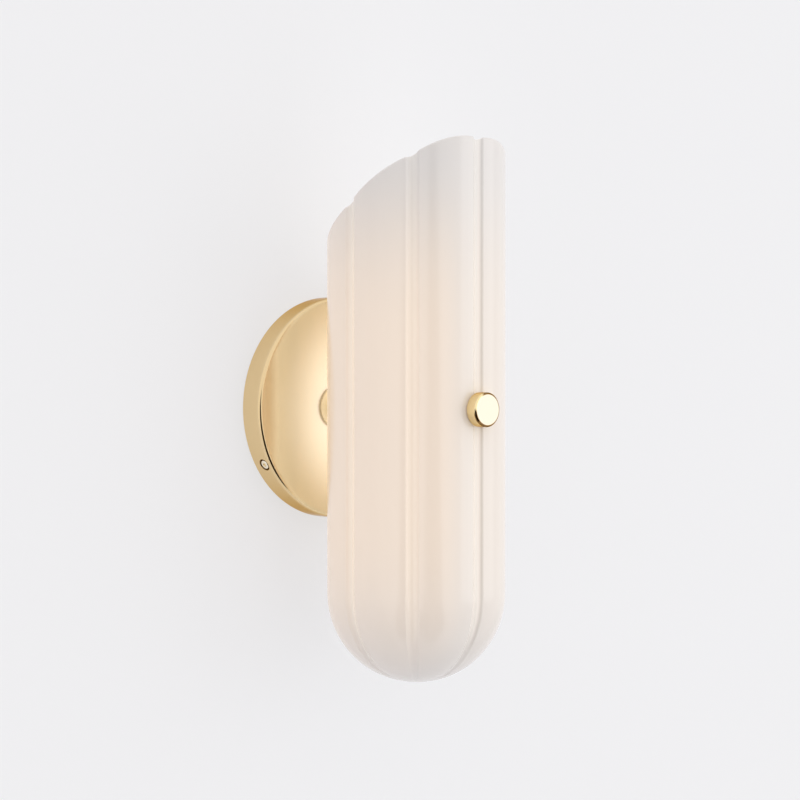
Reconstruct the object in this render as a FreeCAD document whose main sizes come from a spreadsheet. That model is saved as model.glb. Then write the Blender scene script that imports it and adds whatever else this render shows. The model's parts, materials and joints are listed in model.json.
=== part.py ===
import FreeCAD, Part
import math
import os

import Sketcher
from FreeCAD import Placement, Rotation, Vector

# Wall light: a round brass canopy carries a brass arm, two pin-base lamps and a fluted opal
# glass shade, which a small brass knob clamps from the front.
#
# Frame: the wall is the plane Y = 0, +Z is up and +X is to the right of someone who faces the
# wall. The light stands out towards -Y, and "out" below is the distance from the wall. The
# origin is the centre of the canopy's back edge, on the wall.
#
# Turned pieces and flat pieces are drawn in a frame of their own, whose Z runs outwards from
# the wall, and OUTWARD turns them into place.

OUTWARD = Rotation(Vector(1, 0, 0), 90)
UPRIGHT = Rotation()
UPSIDE_DOWN = Rotation(Vector(0, 1, 0), 180)

# Driving dimensions, in millimetres, degrees and counts.
DIMENSIONS = {
    # canopy: turned brass cup that covers the wall box
    "canopy_r": 60,
    "canopy_depth": 14,
    "canopy_wall": 2.5,
    "canopy_face": 3,
    "canopy_edge": 2.5,
    # screws through the canopy's rim
    "rim_screws": 3,
    "rim_screw_inset": 6,
    "rim_sink_gap": 0.7,
    "rim_screw_r": 1.5,
    "rim_screw_len": 9,
    "rim_head_r": 2.6,
    "rim_head_dome": 0.6,
    "rim_head_edge": 0.06,
    "rim_socket_r": 1.1,
    "rim_socket_deep": 1.2,
    # steel plate on the wall box
    "plate_t": 1.5,
    "plate_gap": 0.9,
    "tab_w": 14,
    "tab_t": 3,
    "tab_gap": 0.5,
    "cable_hole_r": 17,
    "box_slot_edge": 12.15,
    "box_slot_z": 30,
    "box_slot_r": 2.2,
    "box_slot_travel": 8,
    "earth_x": 27,
    "earth_screw_r": 2,
    "earth_head_r": 4,
    "earth_head_t": 2.4,
    "earth_washer_r": 4.6,
    "earth_washer_t": 0.8,
    # terminal block for the supply
    "block_x": 26.5,
    "block_w": 15,
    "block_len": 26,
    "block_room": 1.5,
    "pole_pitch": 16,
    "well_pitch": 7,
    "well_deep": 5,
    "wire_screw_r": 1.7,
    "wire_screw_len": 3,
    "block_screw_r": 1.5,
    "block_head_r": 2.6,
    "block_head_t": 1.8,
    # hollow threaded nipple, with its nut and washer inside the canopy
    "nipple_r": 5,
    "nipple_bore_r": 3.5,
    "nipple_back": 6,
    "nipple_engage": 9,
    "washer_r": 9,
    "washer_t": 1,
    "nipple_nut_r": 8.08,
    "nipple_nut_t": 3,
    # collar and gasket behind the glass
    "collar_r": 12,
    "collar_len": 8,
    "collar_edge": 1,
    "spigot_r": 9,
    "spigot_reach": 3,
    "rear_gasket_inset": 0.5,
    "rear_gasket_t": 2,
    # arm and lamp carrier inside the shade
    "arm_r": 8,
    "arm_spigot_r": 4.6,
    "arm_spigot_len": 6,
    "arm_bore_r": 3.1,
    "carrier_r": 12,
    "carrier_flat": 8,
    "cross_bore_r": 4,
    # lampholders
    "holder_w": 16,
    "holder_base_t": 6,
    "holder_tower_r": 8,
    "holder_len": 20,
    "holder_cavity_r": 6,
    "holder_cavity_deep": 6,
    "holder_foot_edge": 3,
    "holder_head_gap": 0.6,
    "holder_screw_r": 1.5,
    "holder_screw_floor": 0.8,
    "holder_head_r": 2.4,
    "holder_head_t": 1.8,
    "contact_t": 0.4,
    "contact_foot_z": 3,
    # lamps
    "pin_pitch": 9,
    "pin_t": 0.9,
    "pin_w": 3,
    "pin_len": 13.5,
    "lamp_base_r": 7.8,
    "lamp_base_len": 8,
    "lamp_globe_r": 8,
    "lamp_globe_len": 40,
    "lamp_globe_wall": 1,
    "lamp_tip_flat": 0.5,
    "lamp_core_r": 3,
    "lamp_core_len": 30,
    # front rod, nuts, gaskets and knob
    "rod_r": 3,
    "rod_engage": 8,
    "rod_nut_r": 5.77,
    "rod_nut_t": 3,
    "inner_gasket_r": 7,
    "inner_gasket_t": 1.5,
    "knob_gasket_r": 6,
    "knob_gasket_t": 0.5,
    "knob_r": 8.75,
    "knob_len": 6.1,
    "knob_bevel": 0.7,
    "knob_edge_r": 0.15,
    "knob_bore_deep": 4,
    # fluted glass shade
    "shade_crest_r": 47.5,
    "shade_lobe_offset": 17,
    "shade_groove_deep": 3.1,
    "shade_channel_r": 4,
    "shade_edge_r": 1.5,
    "shade_inner_edge_r": 0.75,
    "shade_flutes": 8,
    "glass_t": 3.5,
    "shade_drop": 142.4,
    "shade_round_h": 47.5,
    "shade_sections": 8,
    "shade_overlap": 6,
    "shade_pole_r": 3,
    "shade_cut_z": 105,
    "shade_cut_angle": 35.6,
    "shade_rim_round": 0.6,
    "glass_hole_gap": 0.3,
    "rod_hole_gap": 0.6,
    # wires
    "wire_r": 0.8,
    "wire_spread": 1.3,
    "wire_bend_r": 3,
    "wire_apart": 0.1,
    "wire_lift": 0.2,
    "wire_layer_gap": 0.3,
    # clearances
    "thread_gap": 0.05,
    "fit_gap": 0.2,
    "seat_gap": 0.05,
    "turn_gap": 0.1,
}

# Places that follow from the driving dimensions.
PLACES = {
    "lobe_r": "dims.shade_crest_r - dims.shade_lobe_offset",
    "lobe_reach": "dims.shade_lobe_offset * cos(180deg / dims.shade_flutes) + places.lobe_r",
    "groove_r": "dims.shade_crest_r - dims.shade_groove_deep",
    "canopy_inner_r": "dims.canopy_r - dims.canopy_wall",
    "canopy_inner_out": "dims.canopy_depth - dims.canopy_face",
    "plate_r": "places.canopy_inner_r - dims.plate_gap",
    "box_slot_x": "places.plate_r - dims.box_slot_edge",
    "tab_len": "places.canopy_inner_out - dims.plate_t - dims.tab_gap",
    "tab_hole_r": "dims.rim_screw_r + dims.thread_gap",
    "rim_screw_out": "dims.canopy_depth - dims.rim_screw_inset",
    "rim_hole_r": "dims.rim_screw_r + dims.fit_gap",
    "rim_sink_r": "dims.rim_head_r + dims.rim_sink_gap",
    "block_t": "places.canopy_inner_out - dims.plate_t - dims.block_room",
    "well_r": "dims.wire_screw_r + dims.fit_gap",
    "neutral_out": "dims.plate_t + dims.wire_lift + dims.wire_r",
    "live_out": "places.neutral_out + 2 * dims.wire_r + dims.wire_layer_gap",
    "collar_front": "dims.canopy_depth + dims.collar_len",
    "spigot_len": "dims.rear_gasket_t + dims.spigot_reach",
    "spigot_front": "places.collar_front + places.spigot_len",
    "glass_back": "places.collar_front + dims.rear_gasket_t + dims.seat_gap",
    "axis_out": "places.glass_back + places.lobe_reach",
    "glass_front": "places.axis_out + places.lobe_reach",
    "glass_inner": "places.axis_out + places.groove_r - dims.glass_t",
    "holder_screw_y": "dims.holder_tower_r + dims.holder_head_gap + dims.holder_head_r",
    "holder_screw_bite": "dims.carrier_flat - dims.arm_spigot_r - dims.holder_screw_floor",
    "carrier_len": "2 * (places.holder_screw_y + dims.holder_foot_edge)",
    "carrier_back": "places.axis_out - places.carrier_len / 2",
    "carrier_front": "places.axis_out + places.carrier_len / 2",
    "arm_len": "places.carrier_back - places.spigot_front",
    "nipple_len": "places.spigot_front + dims.nipple_engage - dims.nipple_back",
    "inner_gasket_out": "places.glass_inner - dims.seat_gap - dims.inner_gasket_t",
    "stop_nut_out": "places.inner_gasket_out - dims.rod_nut_t",
    "knob_gasket_out": "places.glass_front + dims.seat_gap",
    "knob_out": "places.knob_gasket_out + dims.knob_gasket_t + dims.turn_gap",
    "rod_back": "places.carrier_front - dims.rod_engage",
    "rod_len": "places.knob_out + dims.knob_bore_deep - dims.fit_gap - places.rod_back",
    "nut_out": "places.canopy_inner_out - dims.washer_t - dims.nipple_nut_t",
    "lamp_start": "dims.holder_len + dims.fit_gap",
    "globe_start": "places.lamp_start + dims.lamp_base_len",
    "globe_round": "dims.lamp_globe_r - dims.lamp_tip_flat",
    "slot_w": "dims.pin_t + dims.contact_t + dims.thread_gap",
    "slot_x": "(dims.pin_pitch + dims.contact_t) / 2",
}

doc = FreeCAD.newDocument("wall_light")


def fill_sheet(name, cells):
    """Make a sheet of aliased cells, one row each: a number, or a formula given as text."""
    sheet = doc.addObject("Spreadsheet::Sheet", name)
    for row, (alias, content) in enumerate(cells.items(), start=1):
        text = f"={content}" if isinstance(content, str) else str(content)
        sheet.set(f"A{row}", alias)
        sheet.set(f"B{row}", text)
        sheet.setAlias(f"B{row}", alias)
    doc.recompute()
    return sheet


dims = fill_sheet("dims", DIMENSIONS)
places = fill_sheet("places", PLACES)


def number(expression):
    """The present value of an expression in the sheets' names."""
    result = dims.evalExpression(str(expression))
    return float(getattr(result, "Value", result))


# ---------------------------------------------------------------- sketches and features

def new_body(label):
    body = doc.addObject("PartDesign::Body", label)
    body.Label = label
    return body


def origin_feature(body, role):
    return next(item for item in body.Origin.OriginFeatures if item.Role == role)


def new_sketch(body, role, shift=None):
    """A sketch on one of the body's own planes. shift maps x, y or z to an expression."""
    sketch = body.newObject("Sketcher::SketchObject", f"{body.Name}_sketch")
    sketch.AttachmentSupport = [(origin_feature(body, role), "")]
    sketch.MapMode = "FlatFace"
    for direction, expression in (shift or {}).items():
        sketch.setExpression(f"AttachmentOffset.Base.{direction}", expression)
    return sketch


def pin_point(sketch, curve, end, x, y):
    """Hold a point of a curve at two expressions, measured from the sketch's origin."""
    for kind, axis, expression in (("DistanceX", -2, x), ("DistanceY", -1, y)):
        if expression == "0":
            sketch.addConstraint(Sketcher.Constraint("PointOnObject", curve, end, axis))
            continue
        datum = Sketcher.Constraint(kind, -1, 1, curve, end, number(expression))
        index = sketch.addConstraint(datum)
        sketch.setExpression(f"Constraints[{index}]", expression)


def add_polygon(sketch, corners):
    points = [Vector(number(x), number(y), 0) for x, y in corners]
    first = sketch.GeometryCount
    count = len(points)
    for index in range(count):
        side = Part.LineSegment(points[index], points[(index + 1) % count])
        sketch.addGeometry(side, False)
    for index in range(count):
        following = first + (index + 1) % count
        sketch.addConstraint(Sketcher.Constraint("Coincident", first + index, 2, following, 1))
    for index, (x, y) in enumerate(corners):
        pin_point(sketch, first + index, 1, x, y)


def add_circle(sketch, radius, x="0", y="0"):
    centre = Vector(number(x), number(y), 0)
    curve = sketch.addGeometry(Part.Circle(centre, Vector(0, 0, 1), number(radius)), False)
    pin_point(sketch, curve, 3, x, y)
    index = sketch.addConstraint(Sketcher.Constraint("Radius", curve, number(radius)))
    sketch.setExpression(f"Constraints[{index}]", radius)


def add_rectangle(sketch, width, height, x="0", y="0"):
    """A rectangle of a width and height about a centre."""
    corners = []
    for along, up in ((-1, -1), (1, -1), (1, 1), (-1, 1)):
        corners.append((f"{x} + {along} * ({width}) / 2", f"{y} + {up} * ({height}) / 2"))
    add_polygon(sketch, corners)


def add_hexagon(sketch, radius):
    """A hexagon given by the radius through its corners."""
    corners = []
    for turn in (30, 90, 150, 210, 270, 330):
        corners.append((f"({radius}) * cos({turn}deg)", f"({radius}) * sin({turn}deg)"))
    add_polygon(sketch, corners)


def add_slot(sketch, radius, travel, x="0", y="0", along_x=True):
    """A round-ended slot whose centre line is as long as travel."""
    centres = []
    for side in (-1, 1):
        half = f" + {side} * ({travel}) / 2"
        centres.append((x + half, y) if along_x else (x, y + half))
    size = number(radius)
    begin = 90 if along_x else 180
    for index, (cx, cy) in enumerate(centres):
        circle = Part.Circle(Vector(number(cx), number(cy), 0), Vector(0, 0, 1), size)
        start = math.radians(begin + 180 * index)
        curve = sketch.addGeometry(Part.ArcOfCircle(circle, start, start + math.pi), False)
        pin_point(sketch, curve, 3, cx, cy)
    second = sketch.GeometryCount - 1
    first = second - 1
    corner = sketch.getPoint
    sides = []
    for from_curve, to_curve in ((first, second), (second, first)):
        line = Part.LineSegment(corner(from_curve, 2), corner(to_curve, 1))
        sides.append(sketch.addGeometry(line, False))
    for line, from_curve, to_curve in ((sides[0], first, second), (sides[1], second, first)):
        sketch.addConstraint(Sketcher.Constraint("Tangent", from_curve, 2, line, 1))
        sketch.addConstraint(Sketcher.Constraint("Tangent", line, 2, to_curve, 1))
    index = sketch.addConstraint(Sketcher.Constraint("Radius", first, size))
    sketch.setExpression(f"Constraints[{index}]", radius)


def new_feature(body, kind, sketch):
    feature = body.newObject(f"PartDesign::{kind}", f"{body.Name}_{kind.lower()}")
    feature.Profile = (sketch, [""])
    return feature


def pad(body, sketch, length):
    feature = new_feature(body, "Pad", sketch)
    feature.setExpression("Length", length)
    return feature


def cut(body, sketch, length=None, reverse=False):
    """Pocket a sketch: to a length, or through all. Refuses one that removes nothing."""
    doc.recompute()
    before = body.Shape.Volume
    feature = new_feature(body, "Pocket", sketch)
    feature.Reversed = reverse
    if length is None:
        feature.Type = 1
    else:
        feature.setExpression("Length", length)
    doc.recompute()
    if body.Shape.Volume > before - 1e-6:
        raise RuntimeError(f"{body.Label}: a pocket removes nothing")
    return feature


def spin(body, sketch, kind="Revolution", axis="V_Axis"):
    feature = new_feature(body, kind, sketch)
    feature.ReferenceAxis = (sketch, [axis])
    feature.Angle = 360
    return feature


def repeat_round(body, features, count):
    """Repeat features round the body's own Z axis."""
    pattern = body.newObject("PartDesign::PolarPattern", f"{body.Name}_pattern")
    pattern.Originals = features
    pattern.Axis = (origin_feature(body, "Z_Axis"), [""])
    pattern.Angle = 360
    pattern.setExpression("Occurrences", count)
    body.Tip = pattern
    return pattern


def round_edges(body, rings, radius, kind="Fillet"):
    """Fillet or chamfer the circular edges given as (radius, height) pairs."""
    doc.recompute()
    wanted = [(number(ring), number(height)) for ring, height in rings]
    names = []
    for index, edge in enumerate(body.Shape.Edges, start=1):
        if not isinstance(edge.Curve, Part.Circle):
            continue
        local = body.Placement.inverse().multVec(edge.Curve.Center)
        for ring, height in wanted:
            if abs(edge.Curve.Radius - ring) < 1e-4 and abs(local.z - height) < 1e-4:
                names.append(f"Edge{index}")
    if len(names) < len(wanted):
        raise RuntimeError(f"{body.Label}: an edge to round is missing")
    base = body.Tip
    feature = body.newObject(f"PartDesign::{kind}", f"{body.Name}_{kind.lower()}")
    feature.Base = (base, names)
    feature.setExpression("Radius" if kind == "Fillet" else "Size", radius)
    body.Tip = feature
    return feature


def place(item, turn, out="0", x="0", z="0"):
    """Stand a piece at a distance out from the wall, with expressions for its place."""
    item.Placement = Placement(Vector(number(x), -number(out), number(z)), turn)
    for direction, expression in (("x", x), ("y", f"-({out})"), ("z", z)):
        if expression not in ("0", "-(0)"):
            item.setExpression(f"Placement.Base.{direction}", expression)
    return item


def turned(label, outline):
    """A body turned about its Z axis from an outline of (radius, height) corners."""
    body = new_body(label)
    sketch = new_sketch(body, "XZ_Plane")
    add_polygon(sketch, outline)
    spin(body, sketch)
    return body


def ring(label, outer, inner, length):
    """A plain turned ring that stands on its own origin."""
    return turned(label, [(inner, "0"), (outer, "0"), (outer, length), (inner, length)])


def hex_nut(label, corner_r, bore, length):
    body = new_body(label)
    sketch = new_sketch(body, "XY_Plane")
    add_hexagon(sketch, corner_r)
    add_circle(sketch, bore)
    pad(body, sketch, length)
    return body


def screw(label, shank_r, shank_len, head_r, head_len):
    """A slotted pan-head screw. Its head stands on its own origin, and its shank hangs below.

    The slot is half as wide as the shank is thick, and half as deep as the head.
    """
    outline = [("0", f"-({shank_len})"), (shank_r, f"-({shank_len})"), (shank_r, "0"),
               (head_r, "0"), (head_r, head_len), ("0", head_len)]
    body = turned(label, outline)
    round_edges(body, [(head_r, head_len)], f"({head_len}) / 3")
    sketch = new_sketch(body, "XY_Plane", {"z": head_len})
    add_rectangle(sketch, f"({shank_r}) / 2", f"3 * ({head_r})")
    cut(body, sketch, f"({head_len}) / 2")
    return body


def group(label, pieces):
    """One node that holds several separate solids."""
    compound = doc.addObject("Part::Compound", label)
    compound.Label = label
    compound.Links = pieces
    return compound


def block(name, size, centre):
    """A rectangular bar about a centre, in expressions, that stands on the centre's height."""
    box = doc.addObject("Part::Box", name)
    for side, expression in zip(("Length", "Width", "Height"), size):
        box.setExpression(side, expression)
    half_x = f"({centre[0]}) - ({size[0]}) / 2"
    half_y = f"({centre[1]}) - ({size[1]}) / 2"
    for direction, expression in zip("xyz", (half_x, half_y, centre[2])):
        box.setExpression(f"Placement.Base.{direction}", expression)
    return box


# ---------------------------------------------------------------- canopy and wall plate

def make_canopy():
    body = turned("canopy", [
        ("dims.nipple_r + dims.fit_gap", "places.canopy_inner_out"),
        ("places.canopy_inner_r", "places.canopy_inner_out"),
        ("places.canopy_inner_r", "0"),
        ("dims.canopy_r", "0"),
        ("dims.canopy_r", "dims.canopy_depth"),
        ("dims.nipple_r + dims.fit_gap", "dims.canopy_depth"),
    ])
    round_edges(body, [("dims.canopy_r", "dims.canopy_depth")], "dims.canopy_edge")
    sketch = new_sketch(body, "YZ_Plane", {"y": "places.rim_screw_out"})
    sink_deep = "places.rim_sink_r - places.rim_hole_r"
    over = "dims.fit_gap"
    add_polygon(sketch, [
        (f"places.canopy_inner_r - {over}", "0"),
        (f"dims.canopy_r + {over}", "0"),
        (f"dims.canopy_r + {over}", f"places.rim_sink_r + {over}"),
        (f"dims.canopy_r - ({sink_deep})", "places.rim_hole_r"),
        (f"places.canopy_inner_r - {over}", "places.rim_hole_r"),
    ])
    hole = spin(body, sketch, "Groove", "H_Axis")
    repeat_round(body, [hole], "dims.rim_screws")
    return place(body, OUTWARD)


def make_wall_plate():
    body = new_body("wall_plate")
    sketch = new_sketch(body, "XY_Plane")
    add_circle(sketch, "places.plate_r")
    add_circle(sketch, "dims.cable_hole_r")
    add_circle(sketch, "dims.earth_screw_r + dims.thread_gap", "dims.earth_x")
    add_circle(sketch, "dims.block_screw_r + dims.thread_gap", "-dims.block_x")
    for side in ("-", ""):
        add_slot(sketch, "dims.box_slot_r", "dims.box_slot_travel", x=f"{side}places.box_slot_x")
        add_slot(sketch, "dims.box_slot_r", "dims.box_slot_travel", y=f"{side}dims.box_slot_z",
                 along_x=False)
    pad(body, sketch, "dims.plate_t")
    upright = new_sketch(body, "XY_Plane", {"z": "dims.plate_t"})
    reach = "sqrt(places.plate_r ^ 2 - dims.tab_w ^ 2 / 4)"
    add_rectangle(upright, "dims.tab_w", "dims.tab_t", y=f"{reach} - dims.tab_t / 2")
    tab = pad(body, upright, "places.tab_len")
    side_view = new_sketch(body, "XZ_Plane")
    add_circle(side_view, "places.tab_hole_r", y="places.rim_screw_out")
    hole = cut(body, side_view)
    repeat_round(body, [tab, hole], "dims.rim_screws")
    return place(body, OUTWARD)


def make_rim_screws():
    """Countersunk screws that stand in the canopy's rim and bite in the plate's tabs."""
    gap = "dims.turn_gap"
    cone = "dims.rim_head_r - dims.rim_screw_r"
    sunk = f"(dims.rim_sink_gap - {gap} / 2)"
    screws = []
    for index in range(int(number("dims.rim_screws"))):
        body = turned(f"rim_screw_{index + 1}", [
            ("0", "-dims.rim_screw_len"),
            ("dims.rim_screw_r", "-dims.rim_screw_len"),
            ("dims.rim_screw_r", f"-({cone})"),
            ("dims.rim_head_r", "0"),
            ("dims.rim_head_r", "dims.rim_head_dome"),
            ("0", "dims.rim_head_dome"),
        ])
        crown = [("dims.rim_head_r", "dims.rim_head_dome")]
        round_edges(body, crown, "dims.rim_head_dome - dims.rim_head_edge")
        socket = new_sketch(body, "XY_Plane", {"z": "dims.rim_head_dome"})
        add_hexagon(socket, "dims.rim_socket_r")
        cut(body, socket, "dims.rim_socket_deep")
        angle = 90 + index * 360 / number("dims.rim_screws")
        outward = Vector(math.cos(math.radians(angle)), 0, math.sin(math.radians(angle)))
        seat = f"(dims.canopy_r - {sunk})"
        place(body, Rotation(Vector(0, 0, 1), outward), "places.rim_screw_out",
              f"{seat} * cos({angle}deg)", f"{seat} * sin({angle}deg)")
        screws.append(body)
    return group("rim_screws", screws)


def make_earth_point():
    """The earth screw and its washer, on the wall plate."""
    washer = ring("earth_washer", "dims.earth_washer_r", "dims.earth_screw_r + dims.fit_gap",
                  "dims.earth_washer_t")
    place(washer, OUTWARD, "dims.plate_t", "dims.earth_x")
    bolt = screw("earth_screw", "dims.earth_screw_r", "dims.earth_washer_t + dims.plate_t",
                 "dims.earth_head_r", "dims.earth_head_t")
    place(bolt, OUTWARD, "dims.plate_t + dims.earth_washer_t", "dims.earth_x")
    return [washer, bolt]


def pole_places():
    """The wire screws' centres on the terminal block, as expressions."""
    centres = []
    for pole in (1, -1):
        for well in (1, -1):
            centres.append((f"{well} * dims.well_pitch / 2", f"{pole} * dims.pole_pitch / 2"))
    return centres


def make_terminal_block():
    body = new_body("terminal_block")
    sketch = new_sketch(body, "XY_Plane")
    add_rectangle(sketch, "dims.block_w", "dims.block_len")
    pad(body, sketch, "places.block_t")
    wells = new_sketch(body, "XY_Plane", {"z": "places.block_t"})
    for x, y in pole_places():
        add_circle(wells, "places.well_r", x, y)
    cut(body, wells, "dims.well_deep")
    seat = new_sketch(body, "XY_Plane", {"z": "places.block_t"})
    add_circle(seat, "dims.block_head_r + dims.fit_gap")
    cut(body, seat, "dims.block_head_t + dims.fit_gap")
    through = new_sketch(body, "XY_Plane", {"z": "places.block_t"})
    add_circle(through, "dims.block_screw_r + dims.fit_gap")
    cut(body, through)
    return place(body, OUTWARD, "dims.plate_t", "-dims.block_x")


def make_terminal_screws():
    screws = []
    for index, (x, y) in enumerate(pole_places(), start=1):
        body = turned(f"wire_screw_{index}", [
            ("0", "0"), ("dims.wire_screw_r", "0"),
            ("dims.wire_screw_r", "dims.wire_screw_len"), ("0", "dims.wire_screw_len"),
        ])
        slot = new_sketch(body, "XY_Plane", {"z": "dims.wire_screw_len"})
        add_rectangle(slot, "dims.wire_screw_r / 2", "3 * dims.wire_screw_r")
        cut(body, slot, "dims.wire_screw_len / 3")
        bottom = "dims.plate_t + places.block_t - dims.well_deep"
        place(body, OUTWARD, bottom, f"{x} - dims.block_x", y)
        screws.append(body)
    return group("terminal_screws", screws)


def make_block_screw():
    body = screw("block_screw", "dims.block_screw_r",
                 "dims.plate_t + places.block_t - dims.block_head_t - dims.fit_gap",
                 "dims.block_head_r", "dims.block_head_t")
    return place(body, OUTWARD,
                 "dims.plate_t + places.block_t - dims.block_head_t - dims.fit_gap",
                 "-dims.block_x")


# ---------------------------------------------------------------- arm

def make_nipple():
    body = ring("threaded_nipple", "dims.nipple_r", "dims.nipple_bore_r", "places.nipple_len")
    return place(body, OUTWARD, "dims.nipple_back")


def make_nipple_nut():
    body = hex_nut("nipple_nut", "dims.nipple_nut_r", "dims.nipple_r + dims.thread_gap",
                   "dims.nipple_nut_t")
    return place(body, OUTWARD, "places.nut_out")


def make_nipple_washer():
    body = ring("nipple_washer", "dims.washer_r", "dims.nipple_r + dims.fit_gap",
                "dims.washer_t")
    return place(body, OUTWARD, "places.nut_out + dims.nipple_nut_t")


def make_collar():
    bore = "dims.nipple_r + dims.fit_gap"
    front = "dims.collar_len + places.spigot_len"
    body = turned("collar", [
        (bore, "0"), ("dims.collar_r", "0"), ("dims.collar_r", "dims.collar_len"),
        ("dims.spigot_r", "dims.collar_len"), ("dims.spigot_r", front), (bore, front),
    ])
    round_edges(body, [("dims.collar_r", "dims.collar_len"), ("dims.collar_r", "0")],
                "dims.collar_edge")
    return place(body, OUTWARD, "dims.canopy_depth")


def make_rear_gasket():
    body = ring("rear_gasket", "dims.collar_r - dims.rear_gasket_inset", "dims.spigot_r + dims.fit_gap",
                "dims.rear_gasket_t")
    return place(body, OUTWARD, "places.collar_front")


def make_arm():
    """Brass tube from the collar to the lamp carrier, threaded inside at the back."""
    front = "places.arm_len + dims.arm_spigot_len"
    thread = "dims.nipple_r + dims.thread_gap"
    thread_end = "dims.nipple_engage + dims.fit_gap"
    body = turned("arm_tube", [
        (thread, "0"), ("dims.arm_r", "0"), ("dims.arm_r", "places.arm_len"),
        ("dims.arm_spigot_r", "places.arm_len"), ("dims.arm_spigot_r", front),
        ("dims.arm_bore_r", front), ("dims.arm_bore_r", thread_end), (thread, thread_end),
    ])
    return place(body, OUTWARD, "places.spigot_front")


def make_carrier():
    """Brass bar with two flats for the lampholders, bored for the wires and the front rod."""
    body = new_body("lamp_carrier")
    sketch = new_sketch(body, "XY_Plane")
    add_circle(sketch, "dims.carrier_r")
    pad(body, sketch, "places.carrier_len")
    flats = new_sketch(body, "XY_Plane")
    waste = "(dims.carrier_r - dims.carrier_flat)"
    for side in ("-", ""):
        middle = f"{side}(dims.carrier_flat + {waste})"
        add_rectangle(flats, "3 * dims.carrier_r", f"2 * {waste}", y=middle)
    cut(body, flats, reverse=True)
    back = new_sketch(body, "XY_Plane")
    add_circle(back, "dims.arm_spigot_r + dims.thread_gap")
    cut(body, back, "places.carrier_len / 2", reverse=True)
    front = new_sketch(body, "XY_Plane", {"z": "places.carrier_len"})
    add_circle(front, "dims.rod_r + dims.thread_gap")
    cut(body, front, "dims.rod_engage")
    cross = new_sketch(body, "XZ_Plane", {"z": "dims.carrier_r"})
    add_circle(cross, "dims.cross_bore_r", y="places.carrier_len / 2")
    cut(body, cross)
    screws = new_sketch(body, "XZ_Plane", {"z": "dims.carrier_r"})
    for side in (-1, 1):
        middle = f"places.carrier_len / 2 + {side} * places.holder_screw_y"
        add_circle(screws, "dims.holder_screw_r + dims.thread_gap", y=middle)
    bite = "dims.carrier_r - dims.carrier_flat + places.holder_screw_bite + dims.fit_gap"
    cut(body, screws, bite)
    lower = new_sketch(body, "XZ_Plane", {"z": "-dims.carrier_r"})
    for side in (-1, 1):
        middle = f"places.carrier_len / 2 + {side} * places.holder_screw_y"
        add_circle(lower, "dims.holder_screw_r + dims.thread_gap", y=middle)
    cut(body, lower, bite, reverse=True)
    return place(body, OUTWARD, "places.carrier_back")


# ---------------------------------------------------------------- lampholders and lamps

def lamp_side(side):
    """The turn and height that put a piece above or below the carrier."""
    if side == "upper":
        return UPRIGHT, "dims.carrier_flat"
    return UPSIDE_DOWN, "-dims.carrier_flat"


def make_lampholder(side):
    """Ceramic holder for a two-pin lamp: a foot with two screw holes and a round tower."""
    body = new_body(f"{side}_lampholder")
    foot = new_sketch(body, "XY_Plane")
    add_rectangle(foot, "dims.holder_w", "places.carrier_len")
    pad(body, foot, "dims.holder_base_t")
    tower = new_sketch(body, "XY_Plane", {"z": "dims.holder_base_t"})
    add_circle(tower, "dims.holder_tower_r")
    pad(body, tower, "dims.holder_len - dims.holder_base_t")
    cavity = new_sketch(body, "XY_Plane")
    add_circle(cavity, "dims.holder_cavity_r")
    cut(body, cavity, "dims.holder_cavity_deep", reverse=True)
    slots = new_sketch(body, "XY_Plane", {"z": "dims.holder_len"})
    for hand in ("-", ""):
        add_rectangle(slots, "places.slot_w", "dims.pin_w + 2 * dims.fit_gap",
                      x=f"{hand}places.slot_x")
    cut(body, slots)
    holes = new_sketch(body, "XY_Plane", {"z": "dims.holder_len"})
    for hand in (-1, 1):
        add_circle(holes, "dims.holder_screw_r + dims.fit_gap",
                   y=f"{hand} * places.holder_screw_y")
    cut(body, holes)
    turn, height = lamp_side(side)
    return place(body, turn, "places.axis_out", z=height)


def make_contacts(side):
    """The two spring strips that grip the lamp's pins, each with a foot for its wire."""
    inner = "(dims.pin_pitch + dims.pin_t + dims.thread_gap) / 2"
    outer = f"{inner} + dims.contact_t"
    foot_end = "dims.wire_spread - dims.wire_r"
    foot_top = "dims.contact_foot_z + dims.contact_t"
    top = "dims.holder_len - dims.fit_gap"
    strips = []
    for hand in ("", "-"):
        body = new_body(f"{side}_contact_{len(strips) + 1}")
        sketch = new_sketch(body, "XZ_Plane")
        add_polygon(sketch, [
            (f"{hand}({foot_end})", "dims.contact_foot_z"),
            (f"{hand}({outer})", "dims.contact_foot_z"),
            (f"{hand}({outer})", top),
            (f"{hand}({inner})", top),
            (f"{hand}({inner})", foot_top),
            (f"{hand}({foot_end})", foot_top),
        ])
        strip = pad(body, sketch, "dims.pin_w")
        strip.SideType = "Symmetric"
        strips.append(body)
    turn, height = lamp_side(side)
    return place(group(f"{side}_contacts", strips), turn, "places.axis_out", z=height)


def make_globe(side):
    """The lamp's frosted envelope, a thin cup with a round end."""
    inside = "(dims.lamp_globe_r - dims.lamp_globe_wall)"
    top = "places.globe_start + dims.lamp_globe_len"
    ceiling = f"{top} - dims.lamp_globe_wall"
    body = turned(f"{side}_lamp_globe", [
        (inside, "places.globe_start"), ("dims.lamp_globe_r", "places.globe_start"),
        ("dims.lamp_globe_r", top), ("0", top), ("0", ceiling), (inside, ceiling),
    ])
    round_edges(body, [("dims.lamp_globe_r", top)], "places.globe_round")
    round_edges(body, [(inside, ceiling)], "places.globe_round - dims.lamp_globe_wall")
    return body


def make_core(side):
    """The glowing stick inside the lamp's envelope."""
    return turned(f"{side}_lamp_core", [
        ("0", "places.globe_start"), ("dims.lamp_core_r", "places.globe_start"),
        ("dims.lamp_core_r", "places.globe_start + dims.lamp_core_len"),
        ("0", "places.globe_start + dims.lamp_core_len"),
    ])


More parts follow.
